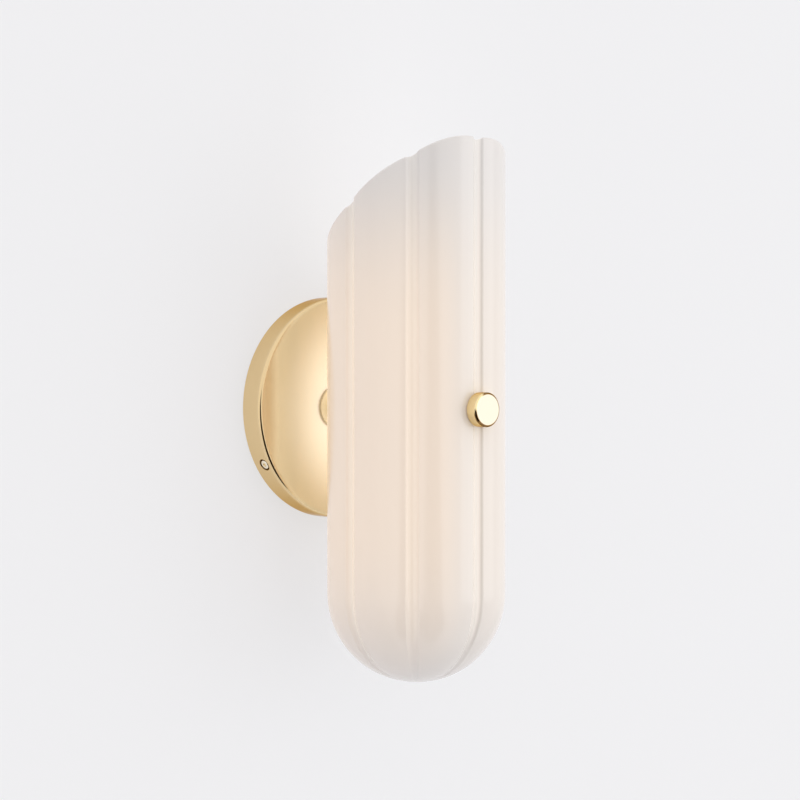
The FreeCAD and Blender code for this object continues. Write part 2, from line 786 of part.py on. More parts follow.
def make_lamp(side):
    """A lamp's base, pins, envelope and glowing core."""
    turn, height = lamp_side(side)
    base = turned(f"{side}_lamp_base", [
        ("0", "places.lamp_start"), ("dims.lamp_base_r", "places.lamp_start"),
        ("dims.lamp_base_r", "places.globe_start"), ("0", "places.globe_start"),
    ])
    pins = []
    for hand in (-1, 1):
        pins.append(block(f"{side}_pin_{2 + hand}", ("dims.pin_t", "dims.pin_w", "dims.pin_len"),
                          (f"{hand} * dims.pin_pitch / 2", "0",
                           "places.lamp_start - dims.pin_len")))
    pieces = [base, group(f"{side}_lamp_pins", pins), make_globe(side), make_core(side)]
    for piece in pieces:
        place(piece, turn, "places.axis_out", z=height)
    return pieces


def make_holder_screws():
    screws = []
    for side in ("upper", "lower"):
        turn, _ = lamp_side(side)
        sign = "" if side == "upper" else "-"
        for hand in (-1, 1):
            body = screw(f"{side}_holder_screw_{2 + hand}", "dims.holder_screw_r",
                         "dims.holder_base_t + places.holder_screw_bite",
                         "dims.holder_head_r", "dims.holder_head_t")
            place(body, turn, f"places.axis_out + {hand} * places.holder_screw_y",
                  z=f"{sign}(dims.carrier_flat + dims.holder_base_t)")
            screws.append(body)
    return group("lampholder_screws", screws)


# ---------------------------------------------------------------- wires

def bent_path(points, bend_r):
    """A path of straight runs through the points, with a tangent arc at each turn."""
    edges = []
    start = points[0]
    for corner, following in zip(points[1:-1], points[2:]):
        before = (start - corner).normalize()
        after = (following - corner).normalize()
        turn = math.pi - before.getAngle(after)
        back = bend_r * math.tan(turn / 2)
        middle = (before + after).normalize() * (bend_r / math.cos(turn / 2) - bend_r)
        arc_start = corner + before * back
        arc_end = corner + after * back
        edges.append(Part.makeLine(start, arc_start))
        edges.append(Part.Arc(arc_start, corner + middle, arc_end).toShape())
        start = arc_end
    edges.append(Part.makeLine(start, points[-1]))
    return Part.Wire(edges)


def make_wires(side):
    """A live and a neutral wire, from the terminal block through the arm to a lampholder."""
    lift = 1 if side == "upper" else -1
    spread = number("dims.wire_spread")
    wires = []
    for pole, out, hand in ((1, "places.live_out", -1), (-1, "places.neutral_out", 1)):
        leave_x = number("dims.block_w / 2 - dims.block_x")
        pair = f"{lift} * (dims.wire_r + dims.wire_apart)"
        leave_z = number(f"{pole} * dims.pole_pitch / 2 + {pair}")
        level = -number(out)
        axis = -number("places.axis_out")
        end_z = lift * number("dims.carrier_flat + dims.contact_foot_z")
        route = [
            Vector(leave_x, level, leave_z),
            Vector(leave_x + number("dims.wire_bend_r"), level, leave_z),
            Vector(hand * spread, level, lift * spread),
            Vector(hand * spread, axis, lift * spread),
            Vector(hand * spread, axis, end_z),
        ]
        path = bent_path(route, number("dims.wire_bend_r"))
        start = Part.Circle(route[0], Vector(1, 0, 0), number("dims.wire_r")).toShape()
        solid = path.makePipeShell([Part.Wire(start)], True, False)
        expected = math.pi * number("dims.wire_r") ** 2 * path.Length
        if abs(solid.Volume / expected - 1) > 0.01:
            raise RuntimeError(f"{side} wire: volume {solid.Volume} is not {expected}")
        wires.append(solid)
    feature = doc.addObject("Part::Feature", f"{side}_wires")
    feature.Label = f"{side}_wires"
    feature.Shape = Part.makeCompound(wires)
    return feature


# ---------------------------------------------------------------- front rod and knob

def make_front_hardware():
    """The rod from the carrier through the glass, with its nuts and soft washers."""
    bore = "dims.rod_r + dims.thread_gap"
    rod = turned("front_rod", [("0", "0"), ("dims.rod_r", "0"), ("dims.rod_r", "places.rod_len"),
                               ("0", "places.rod_len")])
    place(rod, OUTWARD, "places.rod_back")
    lock_nut = hex_nut("rod_lock_nut", "dims.rod_nut_r", bore, "dims.rod_nut_t")
    place(lock_nut, OUTWARD, "places.carrier_front")
    stop_nut = hex_nut("glass_stop_nut", "dims.rod_nut_r", bore, "dims.rod_nut_t")
    place(stop_nut, OUTWARD, "places.stop_nut_out")
    inner = ring("inner_gasket", "dims.inner_gasket_r", "dims.rod_r + dims.fit_gap",
                 "dims.inner_gasket_t")
    place(inner, OUTWARD, "places.inner_gasket_out")
    outer = ring("knob_gasket", "dims.knob_gasket_r", "dims.rod_r + dims.fit_gap",
                 "dims.knob_gasket_t")
    place(outer, OUTWARD, "places.knob_gasket_out")
    return [rod, lock_nut, stop_nut, inner, outer]


def make_knob():
    bore = "dims.rod_r + dims.thread_gap"
    shoulder = "dims.knob_len - dims.knob_bevel"
    body = turned("knob", [
        (bore, "0"), ("dims.knob_r", "0"), ("dims.knob_r", shoulder),
        ("dims.knob_r - dims.knob_bevel", "dims.knob_len"), ("0", "dims.knob_len"),
        ("0", "dims.knob_bore_deep"), (bore, "dims.knob_bore_deep"),
    ])
    edges = [("dims.knob_r", shoulder), ("dims.knob_r - dims.knob_bevel", "dims.knob_len")]
    round_edges(body, edges, "dims.knob_edge_r")
    return place(body, OUTWARD, "places.knob_out")


# ---------------------------------------------------------------- glass shade

def circles_meet(centre_a, radius_a, centre_b, radius_b):
    """The meeting point of two circles that lies to the left of the line from a to b."""
    span = centre_b - centre_a
    gap = span.Length
    along = (radius_a ** 2 - radius_b ** 2 + gap ** 2) / (2 * gap)
    aside = math.sqrt(radius_a ** 2 - along ** 2)
    ahead = span * (1 / gap)
    return centre_a + ahead * along + Vector(-ahead.y, ahead.x, 0) * aside


def polar(radius, angle):
    return Vector(radius * math.cos(angle), radius * math.sin(angle), 0)


def fluted_section(inset, edge_r):
    """The shade's plan outline, moved in by an inset: broad lobes with scooped channels.

    Each channel is an arc about a centre outside the glass, each lobe is an arc about a centre
    near the axis, and a small arc rounds the edge where they meet. One channel faces the front.
    """
    flutes = int(number("dims.shade_flutes"))
    half = math.pi / flutes
    lobe_r = number("places.lobe_r") - inset
    channel_r = number("dims.shade_channel_r") + inset
    lobe_offset = number("dims.shade_lobe_offset")
    channel_offset = number("places.groove_r") - inset + channel_r
    edges = []
    for flute in range(flutes):
        groove = -math.pi / 2 + 2 * half * flute
        channel = polar(channel_offset, groove)
        turns = []
        for hand in (-1, 1):
            lobe = polar(lobe_offset, groove + hand * half)
            pair = (channel, channel_r + edge_r, lobe, lobe_r - edge_r)
            if hand == -1:
                corner = circles_meet(*pair)
            else:
                corner = circles_meet(pair[2], pair[3], pair[0], pair[1])
            outer = lobe + (corner - lobe).normalize() * lobe_r
            inner = channel + (corner - channel).normalize() * channel_r
            bulge = corner + ((outer - corner) + (inner - corner)).normalize() * edge_r
            turns.append((outer, bulge, inner))
        (lobe_end, bulge_in, dip_start), (lobe_start, bulge_out, dip_end) = turns
        bottom = polar(channel_offset - channel_r, groove)
        edges.append(Part.Arc(lobe_end, bulge_in, dip_start).toShape())
        edges.append(Part.Arc(dip_start, bottom, dip_end).toShape())
        edges.append(Part.Arc(dip_end, bulge_out, lobe_start).toShape())
        crest = polar(lobe_offset + lobe_r, groove + half)
        mirror = 2 * (groove + half)
        next_end = polar(lobe_start.Length, mirror - math.atan2(lobe_start.y, lobe_start.x))
        edges.append(Part.Arc(lobe_start, crest, next_end).toShape())
    return Part.Wire(edges)


def fluted_solid(inset, edge_r, top):
    """The fluted tube from its round bottom up to a height, moved in by an inset.

    The bottom is a loft through ever smaller copies of the plan outline, which follow a
    quarter ellipse down to a small flat spot at the pole.
    """
    plan = fluted_section(inset, edge_r)
    round_h = number("dims.shade_round_h")
    seam = round_h - number("dims.shade_drop")
    depth = round_h - inset
    crest = number("dims.shade_crest_r") - inset
    last = math.acos(number("dims.shade_pole_r") / crest)
    steps = int(number("dims.shade_sections"))
    overlap = number("dims.shade_overlap")
    sections = [plan.translated(Vector(0, 0, seam + overlap))]
    for step in range(steps + 1):
        angle = last * step / steps
        section = plan.copy()
        section.scale(math.cos(angle))
        section.translate(Vector(0, 0, seam - depth * math.sin(angle)))
        sections.append(section)
    bottom = Part.makeLoft(sections, True, False)
    tube_face = Part.Face(plan.translated(Vector(0, 0, seam + overlap)))
    tube = tube_face.extrude(Vector(0, 0, top - seam - overlap))
    return bottom.fuse(tube).removeSplitter()


def make_shade():
    """Opal glass: the fluted tube, hollowed, cut on a slant and drilled for arm and rod."""
    angle = number("dims.shade_cut_angle")
    slope = math.tan(math.radians(angle))
    crest = number("dims.shade_crest_r")
    cut_z = number("dims.shade_cut_z")
    top = cut_z + slope * crest + number("dims.glass_t")
    outer = fluted_solid(0, number("dims.shade_edge_r"), top)
    inner = fluted_solid(number("dims.glass_t"), number("dims.shade_inner_edge_r"),
                         top + number("dims.glass_t"))
    glass = outer.cut(inner)
    size = 4 * (crest + top)
    waste = Part.makeBox(size, size, size, Vector(-size / 2, -size / 2, 0))
    waste.Placement = Placement(Vector(0, 0, cut_z), Rotation(Vector(1, 0, 0), -angle))
    glass = glass.cut(waste)
    arm_hole = number("dims.spigot_r + dims.glass_hole_gap")
    rod_hole = number("dims.rod_r + dims.rod_hole_gap")
    for radius, direction in ((arm_hole, Vector(0, 1, 0)), (rod_hole, Vector(0, -1, 0))):
        glass = glass.cut(Part.makeCylinder(radius, crest + 1, Vector(0, 0, 0), direction))
    feature = doc.addObject("Part::Feature", "glass_shade")
    feature.Label = "glass_shade"
    feature.Shape = round_rim(glass, angle, cut_z)
    return place(feature, UPRIGHT, "places.axis_out")


def round_rim(glass, angle, cut_z):
    """Fire-polish the slanted rim: round both of its edges."""
    normal = Rotation(Vector(1, 0, 0), -angle).multVec(Vector(0, 0, 1))
    middle = Vector(0, 0, cut_z)
    rim = []
    for edge in glass.Edges:
        ends = (edge.Vertexes[0].Point, edge.Vertexes[-1].Point)
        if all(abs((point - middle).dot(normal)) < 1e-4 for point in ends):
            rim.append(edge)
    rounded = glass.makeFillet(number("dims.shade_rim_round"), rim)
    return rounded.Solids[0]


# ---------------------------------------------------------------- assembly

def build():
    nodes = [make_canopy(), make_wall_plate(), make_rim_screws(), make_terminal_block(),
             make_terminal_screws(), make_block_screw(), make_nipple(), make_nipple_nut(),
             make_nipple_washer(), make_collar(), make_rear_gasket(), make_arm(),
             make_carrier(), make_holder_screws(), make_knob(), make_shade()]
    nodes += make_earth_point()
    nodes += make_front_hardware()
    for side in ("upper", "lower"):
        nodes += [make_lampholder(side), make_contacts(side), make_wires(side)]
        nodes += make_lamp(side)
    return nodes


def check(nodes):
    for item in doc.Objects:
        if {"Invalid", "Error"} & set(item.State):
            raise RuntimeError(f"{item.Label}: {item.State}")
    for node in nodes:
        if node.Shape.isNull() or not node.Shape.isValid() or not node.Shape.Solids:
            raise RuntimeError(f"{node.Label}: its shape is empty or not valid")


def write(nodes):
    os.makedirs("parts", exist_ok=True)
    for node in nodes:
        node.Shape.exportStep(f"parts/{node.Label}.step")
        box = node.Shape.BoundBox
        print(f"{node.Label:22s} solids {len(node.Shape.Solids)} volume {node.Shape.Volume:10.1f}"
              f"  X {box.XMin:7.2f} {box.XMax:7.2f}  Y {box.YMin:8.2f} {box.YMax:7.2f}"
              f"  Z {box.ZMin:8.2f} {box.ZMax:7.2f}")


model = build()
doc.recompute()
check(model)
write(model)
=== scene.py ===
"""Wall light: a fluted opal glass shade on a round brass canopy, lit by two small lamps.

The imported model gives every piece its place. This script gives the pieces their finishes, cuts
the two screw threads, chamfers the nuts, and sets the light against a pale wall in a plain studio.

Lengths are in metres. The wall is the plane Y = 0, +Z is up and +X is to the right of someone
who faces the wall, so the light stands out towards -Y.
"""

import json
import logging
import math
from dataclasses import dataclass
from enum import Enum
from typing import ClassVar, Dict, List, Mapping, Sequence, Tuple, Union

import bmesh
import bpy
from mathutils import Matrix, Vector

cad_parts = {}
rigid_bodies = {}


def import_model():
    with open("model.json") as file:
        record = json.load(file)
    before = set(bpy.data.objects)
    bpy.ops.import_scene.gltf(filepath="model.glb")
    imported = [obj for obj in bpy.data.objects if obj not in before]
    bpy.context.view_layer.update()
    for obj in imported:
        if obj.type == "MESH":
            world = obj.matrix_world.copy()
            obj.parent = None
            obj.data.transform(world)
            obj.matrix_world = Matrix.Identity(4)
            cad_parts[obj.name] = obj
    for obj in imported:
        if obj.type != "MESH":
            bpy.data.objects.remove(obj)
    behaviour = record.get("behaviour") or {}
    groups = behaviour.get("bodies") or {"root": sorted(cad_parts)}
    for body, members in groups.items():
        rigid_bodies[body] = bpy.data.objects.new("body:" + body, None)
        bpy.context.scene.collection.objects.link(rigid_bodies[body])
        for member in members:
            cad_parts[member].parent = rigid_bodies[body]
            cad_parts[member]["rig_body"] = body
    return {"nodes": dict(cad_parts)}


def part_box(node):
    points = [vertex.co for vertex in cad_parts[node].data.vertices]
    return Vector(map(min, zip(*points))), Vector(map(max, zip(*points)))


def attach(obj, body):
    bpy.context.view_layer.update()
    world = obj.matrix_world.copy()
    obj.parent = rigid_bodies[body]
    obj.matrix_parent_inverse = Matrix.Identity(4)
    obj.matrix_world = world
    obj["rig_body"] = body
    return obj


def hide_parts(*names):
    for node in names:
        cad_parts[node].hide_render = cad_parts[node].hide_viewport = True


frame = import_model()

log = logging.getLogger("wall_light")

MM = 0.001
WELD = 1e-6
SHARP_ANGLE = math.radians(28)
HALF_SIDE = math.pi / 6

Colour = Tuple[float, float, float]
Point = Tuple[float, float, float]
Span = Tuple[float, float]

NO_LIGHT: Colour = (0.0, 0.0, 0.0)


# ---------------------------------------------------------------- shader tools

class Value:
    """A number socket of a shader, so that shader maths reads as Python."""

    def __init__(self, shader: "Shader", socket: bpy.types.NodeSocket) -> None:
        """Wrap one of the shader's output sockets."""
        self.shader = shader
        self.socket = socket

    def _math(self, operation: str, first: "Number", second: "Number") -> "Value":
        """The result of a Math node that works on two numbers."""
        node = self.shader.node("ShaderNodeMath", {"operation": operation}, {0: first, 1: second})
        return Value(self.shader, node.outputs[0])

    def __add__(self, other: "Number") -> "Value":
        """self + other."""
        return self._math("ADD", self, other)

    def __radd__(self, other: "Number") -> "Value":
        """other + self."""
        return self._math("ADD", other, self)

    def __sub__(self, other: "Number") -> "Value":
        """self - other."""
        return self._math("SUBTRACT", self, other)

    def __rsub__(self, other: "Number") -> "Value":
        """other - self."""
        return self._math("SUBTRACT", other, self)

    def __mul__(self, other: "Number") -> "Value":
        """self * other."""
        return self._math("MULTIPLY", self, other)

    def __rmul__(self, other: "Number") -> "Value":
        """other * self."""
        return self._math("MULTIPLY", other, self)

    def __pow__(self, other: "Number") -> "Value":
        """self ** other."""
        return self._math("POWER", self, other)


Number = Union[Value, float]
Input = Union[Value, bpy.types.NodeSocket, float, Sequence[float]]


class Shader:
    """Builds the nodes of one material or of the world."""

    def __init__(self, tree: bpy.types.NodeTree) -> None:
        """Start with a node tree, emptied."""
        self.tree = tree
        tree.nodes.clear()

    def node(self, kind: str, settings: Mapping[str, object],
             values: Mapping[Union[int, str], Input]) -> bpy.types.Node:
        """Add one node.

        Args:
            kind: the node's type.
            settings: its settings, which are set first.
            values: the number, colour or link of each of its sockets.

        Returns:
            The new node.
        """
        node = self.tree.nodes.new(kind)
        for name, setting in settings.items():
            setattr(node, name, setting)
        for name, value in values.items():
            socket = node.inputs[name]
            if isinstance(value, Value):
                self.tree.links.new(value.socket, socket)
            elif isinstance(value, bpy.types.NodeSocket):
                self.tree.links.new(value, socket)
            elif socket.type == "RGBA" and len(value) == 3:
                socket.default_value = (*value, 1.0)
            else:
                socket.default_value = value
        return node

    def place(self) -> bpy.types.NodeSocket:
        """The point on the surface, in the light's own frame and in metres."""
        return self.node("ShaderNodeTexCoord", {}, {}).outputs["Object"]

    def split(self, vector: bpy.types.NodeSocket) -> Tuple[Value, Value, Value]:
        """The three parts of a vector."""
        parts = self.node("ShaderNodeSeparateXYZ", {}, {0: vector}).outputs
        return tuple(Value(self, part) for part in parts)

    def vector(self, operation: str, first: Input, second: Input) -> bpy.types.NodeSocket:
        """The result of a Vector Math node that works on two vectors."""
        return self.node("ShaderNodeVectorMath", {"operation": operation},
                         {0: first, 1: second}).outputs["Vector"]

    def length(self, vector: Input) -> Value:
        """The length of a vector."""
        node = self.node("ShaderNodeVectorMath", {"operation": "LENGTH"}, {0: vector})
        return Value(self, node.outputs["Value"])

    def off_axis(self, place: Input) -> Value:
        """How far a point is from the knob's and the canopy's axis, which is the Y axis."""
        return self.length(self.vector("MULTIPLY", place, (1.0, 0.0, 1.0)))

    def noise(self, vector: Input, scale: float, detail: float = 2.0) -> Value:
        """A smooth random value from 0 to 1.

        Args:
            vector: the place it is taken at.
            scale: how many features there are to a metre.
            detail: how many finer layers are added.

        Returns:
            The noise.
        """
        node = self.node("ShaderNodeTexNoise", {},
                         {"Vector": vector, "Scale": scale, "Detail": detail})
        return Value(self, node.outputs["Fac"])

    def cells(self, vector: Input, scale: float) -> Value:
        """A random grey from 0 to 1 for each cell of a pattern of so many cells to a metre."""
        node = self.node("ShaderNodeTexVoronoi", {}, {"Vector": vector, "Scale": scale})
        return self.split(node.outputs["Color"])[0]

    def fade(self, value: Number, start: float, end: float) -> Value:
        """A smooth step.

        Args:
            value: the value that drives it.
            start: where the result is 0.
            end: where the result is 1.

        Returns:
            A value from 0 to 1.
        """
        node = self.node("ShaderNodeMapRange", {"interpolation_type": "SMOOTHSTEP"},
                         {"Value": value, "From Min": start, "From Max": end})
        return Value(self, node.outputs["Result"])

    def mix(self, factor: Number, first: Input, second: Input) -> bpy.types.NodeSocket:
        """A mix of two colours: the first where the factor is 0, the second where it is 1."""
        node = self.node("ShaderNodeMix", {"data_type": "RGBA"}, {0: factor, 6: first, 7: second})
        return node.outputs[2]

    def bump(self, height: Value, depth: float) -> bpy.types.NodeSocket:
        """A normal with bumps of a height from 0 to 1, as deep as the depth in metres."""
        node = self.node("ShaderNodeBump", {}, {"Height": height, "Distance": depth})
        return node.outputs["Normal"]

    def ray(self, kind: str) -> Value:
        """1 for a ray of this kind, such as a camera ray, and 0 for any other."""
        return Value(self, self.node("ShaderNodeLightPath", {}, {}).outputs[f"Is {kind} Ray"])

    def seen(self) -> Value:
        """1 where the camera, polished metal or glass sees a surface, and 0 for its light."""
        return self.ray("Camera") + self.ray("Glossy") + self.ray("Transmission")

    def surface(self, values: Mapping[str, Input]) -> bpy.types.NodeSocket:
        """A Principled surface with these numbers, colours and links in its sockets."""
        return self.node("ShaderNodeBsdfPrincipled", {}, values).outputs["BSDF"]

    def output(self, surface: bpy.types.NodeSocket) -> None:
        """Connect a shader to the material's output."""
        self.node("ShaderNodeOutputMaterial", {}, {"Surface": surface})


# ---------------------------------------------------------------- finishes

@dataclass(frozen=True)
class Finish:
    """A finish: its name and the nodes that make it."""

    name: str

    made: ClassVar[Dict[str, bpy.types.Material]] = {}

    def shade(self, shader: Shader) -> bpy.types.NodeSocket:
        """Build the finish's nodes and return its surface."""
        raise NotImplementedError

    def material(self) -> bpy.types.Material:
        """Make the finish's material, the first time that it is asked for.

        Returns:
            The material.
        """
        if self.name not in self.made:
            material = bpy.data.materials.new(self.name)
            material.use_nodes = True
            shader = Shader(material.node_tree)
            shader.output(self.shade(shader))
            self.made[self.name] = material
        return self.made[self.name]


@dataclass(frozen=True)
class PolishedBrass(Finish):
    """Brass that is turned, polished and lacquered."""

    name: str = "polished_brass"
    pale: Colour = (0.85, 0.665, 0.395)
    deep: Colour = (0.80, 0.60, 0.33)
    grazing: Colour = (0.72, 0.54, 0.32)
    roughness: float = 0.10
    roughness_spread: float = 0.06
    cloud_scale: float = 22.0
    smear_stretch: Point = (90.0, 14.0, 90.0)
    smear_scale: float = 3.0
    ring_pitch: float = 0.35 * MM
    ring_depth: float = 0.0004 * MM

    def shade(self, shader: Shader) -> bpy.types.NodeSocket:
        """Soft clouds and smears in the lacquer, and faint turning rings round the axis.

        Args:
            shader: the shader to build it in.

        Returns:
            The surface.
        """
        place = shader.place()
        cloud = shader.noise(place, self.cloud_scale, detail=3.0)
        smear = shader.noise(shader.vector("MULTIPLY", place, self.smear_stretch),
                             self.smear_scale)
        rings = shader.noise(shader.off_axis(place), 1.0 / self.ring_pitch, detail=1.0)
        return shader.surface({
            "Base Color": self.paint_shade_and_reflection(shader, place, shader.mix(cloud, self.deep, self.pale)),
            "Metallic": 1.0,
            "Specular Tint": self.grazing,
            "Roughness": self.roughness + self.roughness_spread * smear,
            "Normal": shader.bump(rings, self.ring_depth),
        })

    def paint_shade_and_reflection(self, shader: Shader, place: bpy.types.NodeSocket,
                bare_polish: bpy.types.NodeSocket) -> bpy.types.NodeSocket:
        """The polished colour, which some pieces change with a duller face, painted shade and a
        painted reflection.
        """
        return bare_polish


@dataclass(frozen=True)
class CanopyBrass(PolishedBrass):
    """Polished brass with painted shade in the canopy's three countersinks."""

    name: str = "canopy_brass"
    # The dark colour is painted shade in the countersinks.
    dark: Colour = (0.11, 0.055, 0.015)
    screw_angles: Tuple[float, ...] = (90.0, 210.0, 330.0)
    screw_y: float = -8.0 * MM
    rim_r: float = 60.0 * MM
    dark_r: float = 3.5 * MM
    dark_edge: float = 0.12 * MM

    def paint_shade_and_reflection(self, shader: Shader, place: bpy.types.NodeSocket,
                bare_polish: bpy.types.NodeSocket) -> bpy.types.NodeSocket:
        """The polished colour, with painted shade within each countersink.

        Args:
            shader: the shader to build it in.
            place: the point on the surface.
            bare_polish: the polished colour.

        Returns:
            The colour.
        """
        colour = bare_polish
        for angle in self.screw_angles:
            turn = math.radians(angle)
            middle = (self.rim_r * math.cos(turn), self.screw_y, self.rim_r * math.sin(turn))
            away = shader.length(shader.vector("SUBTRACT", place, middle))
            # Painted shade within the countersink, where the gap round the screw is in shadow.
            countersink_shade = 1.0 - shader.fade(away, self.dark_r - self.dark_edge, self.dark_r)
            colour = shader.mix(countersink_shade, colour, self.dark)
        return colour


@dataclass(frozen=True)
class KnobBrass(PolishedBrass):
    """Polished brass with a duller face and a painted dark reflection along its bevel but for its
    upper left.
    """

    name: str = "knob_brass"
    pale: Colour = (0.97, 0.81, 0.49)
    deep: Colour = (0.94, 0.77, 0.43)
    # The dark colour is a painted dark reflection along the bevel.
    dark: Colour = (0.26, 0.15, 0.06)
    face: Colour = (0.62, 0.587, 0.483)
    face_r: float = 7.75 * MM
    face_edge: float = 0.10 * MM
    bevel_y: float = -122.0 * MM
    bevel_edge: float = 0.05 * MM
    # The bevel's upper left stays polished, where the highlight falls.
    highlight_way: Point = (-0.87, 0.0, 0.5)
    highlight_fade: Span = (0.76, 0.94)

    def paint_shade_and_reflection(self, shader: Shader, place: bpy.types.NodeSocket,
                bare_polish: bpy.types.NodeSocket) -> bpy.types.NodeSocket:
        """The polished colour, duller on the face and with a painted dark reflection along the
        bevel.

        Args:
            shader: the shader to build it in.
            place: the point on the surface.
            bare_polish: the polished colour.

        Returns:
            The colour.
        """
        out = shader.split(place)[1]
        ring = shader.fade(shader.off_axis(place), self.face_r - self.face_edge, self.face_r)
        front = 1.0 - shader.fade(out, self.bevel_y, self.bevel_y + self.bevel_edge)
        way = shader.split(shader.vector("MULTIPLY", place, self.highlight_way))
        bright = shader.fade((way[0] + way[2]) * (1.0 / self.face_r), *self.highlight_fade)
        plain = shader.mix(front * (1.0 - ring), bare_polish, self.face)
        # Painted dark reflection along the bevel, left off on its upper left.
        return shader.mix(ring * front * (1.0 - bright), plain, self.dark)


@dataclass(frozen=True)
class PlatedSteel(Finish):
    """Zinc plated steel, with a faint crystal pattern."""

    name: str = "zinc_steel"
    pale: Colour = (0.74, 0.75, 0.77)
    dark: Colour = (0.60, 0.61, 0.64)
    crystal_scale: float = 420.0
    roughness: float = 0.26
    roughness_spread: float = 0.16
    grain_scale: float = 1260.0
    grain_depth: float = 0.01 * MM

    def shade(self, shader: Shader) -> bpy.types.NodeSocket:
        """Crystals in colour and gloss, and a fine grain.

        Args:
            shader: the shader to build it in.

        Returns:
            The surface.
        """
        place = shader.place()
        crystal = shader.cells(place, self.crystal_scale)
        grain = shader.noise(place, self.grain_scale)
        return shader.surface({
            "Base Color": shader.mix(crystal, self.dark, self.pale),
            "Metallic": 1.0,
            "Roughness": self.roughness + self.roughness_spread * crystal,
            "Normal": shader.bump(grain, self.grain_depth),
        })


@dataclass(frozen=True)
class PlainMetal(Finish):
    """Bare metal with a dull film in places."""

    name: str
    bright: Colour
    dull: Colour
    roughness: float = 0.25
    roughness_spread: float = 0.2
    film_scale: float = 260.0
    film_fade: Span = (0.35, 0.70)

    def shade(self, shader: Shader) -> bpy.types.NodeSocket:
        """A film that comes and goes, which is rougher and darker.

        Args:
            shader: the shader to build it in.

        Returns:
            The surface.
        """
        place = shader.place()
        film = shader.fade(shader.noise(place, self.film_scale, detail=4.0), *self.film_fade)
        return shader.surface({
            "Base Color": shader.mix(film, self.bright, self.dull),
            "Metallic": 1.0,
            "Roughness": self.roughness + self.roughness_spread * film,
        })


@dataclass(frozen=True)
class OpalGlass(Finish):
    """Opal glass lit from inside: milky, glossy and warm between the two lamps."""

    name: str = "opal_glass"
    milk: Colour = (0.86, 0.825, 0.805)
    # The second milk is the glass's colour painted warmer where the glow lights it.
    glow_warmed_milk: Colour = (0.86, 0.815, 0.775)
    streaks: Point = (60.0, 60.0, 9.0)
    roughness: float = 0.12
    roughness_spread: float = 0.08
    coat: float = 0.35
    coat_spread: float = 0.15
    coat_fade: Span = (-140.0 * MM, -85.0 * MM)

    # The glow, which fades up and down and is weaker on the right.
    glow: Colour = (0.20, 0.11, 0.03)
    glow_middle: float = -12.0 * MM
    glow_reach: float = 140.0 * MM
    glow_fade: Span = (0.05, 1.0)
    right_share: float = 0.65
    right_fade: Span = (-26.0 * MM, -6.0 * MM)
    even_share: float = 0.9
    streak_share: float = 0.2

    # The glass's back near the wall, as polished metal reflects it, brightest round the arm.
    back_glow: Colour = (0.33, 0.38, 0.43)
    back_fade: Span = (-48.0 * MM, -34.0 * MM)
    arm_glow: Colour = (0.88, 1.08, 1.55)
    arm_stretch: Point = (1.0, 0.0, 0.5)
    arm_fade: Span = (8.0 * MM, 34.0 * MM)

    # Painted light that lifts the shade in the channels, most of all a band of the front one, and a
    # glow on the inside.
    channel_glow: Colour = (0.05, 0.05, 0.04)
    front_channel_glow: Colour = (0.14, 0.13, 0.115)
    front_start: Span = (0.0, 1.2 * MM)
    front_end: Span = (4.0 * MM, 6.0 * MM)
    inner_glow: Colour = (0.20, 0.18, 0.15)
    axis_out: float = 70.3 * MM
    bowl_down: float = 94.9 * MM
    inner_r: float = 44.1 * MM
    inner_edge: float = 0.2 * MM
    channel_r: float = 44.5 * MM
    ridge_r: float = 45.6 * MM

    def shade(self, shader: Shader) -> bpy.types.NodeSocket:
        """Slightly uneven milk and a glow that fades up and down; in metal, a bright back too.

        Args:
            shader: the shader to build it in.

        Returns:
            The surface.
        """
        place = shader.place()
        across, out, up = shader.split(place)
        streak = shader.noise(shader.vector("MULTIPLY", place, self.streaks), 1.0, detail=3.0)
        height = (up - self.glow_middle) * (1.0 / self.glow_reach)
        lit = 1.0 - shader.fade(height * height, *self.glow_fade)
        left = 1.0 - self.right_share * shader.fade(across, *self.right_fade)
        warmth = lit * left * (self.even_share + self.streak_share * streak)
        glow = self._channel_and_inner_glow(shader, place, shader.mix(warmth, NO_LIGHT, self.glow))
        near_wall = shader.fade(out, *self.back_fade) * shader.ray("Glossy")
        beside = shader.length(shader.vector("MULTIPLY", place, self.arm_stretch))
        near_arm = near_wall * (1.0 - shader.fade(beside, *self.arm_fade))
        coat = self.coat + self.coat_spread * streak
        return shader.surface({
            # Painted light: the base colour turns warmer where the glow is.
            "Base Color": shader.mix(lit, self.milk, self.glow_warmed_milk),
            "Roughness": self.roughness + self.roughness_spread * streak,
            "Coat Weight": coat * shader.fade(up, *self.coat_fade),
            "Emission Color": shader.mix(near_arm, shader.mix(near_wall, glow, self.back_glow),
                                         self.arm_glow),
            "Emission Strength": 1.0,
        })

    def _channel_and_inner_glow(self, shader: Shader, place: bpy.types.NodeSocket,
                    glow: bpy.types.NodeSocket) -> bpy.types.NodeSocket:
        """Add painted light that lifts the shade in the channels, and a glow on the inside.

        A point's distance is taken from the shade's axis above the bowl's middle, and from the
        bowl's middle below it.

        Args:
            shader: the shader to build it in.
            place: the point on the surface.
            glow: the glow before the channels' painted light is added.

        Returns:
            The light of all the glass.
        """
        across = shader.split(place)[0]
        from_bowl = shader.vector("ADD", place, (0.0, self.axis_out, self.bowl_down))
        radial = shader.length(shader.vector("MINIMUM", from_bowl, (1.0, 1.0, 0.0)))
        outside = shader.fade(radial, self.inner_r, self.inner_r + self.inner_edge)
        channel = outside * (1.0 - shader.fade(radial, self.channel_r, self.ridge_r))
        front = shader.fade(across, *self.front_start) * (
            1.0 - shader.fade(across, *self.front_end))
        # Painted light in the channels lifts their shade, most of all in a band of the front one.
        channel_light = shader.mix(channel, NO_LIGHT, self.channel_glow)
        front_channel_light = shader.mix(channel * front, channel_light, self.front_channel_glow)
        return shader.mix(1.0 - outside, shader.vector("ADD", glow, front_channel_light), self.inner_glow)


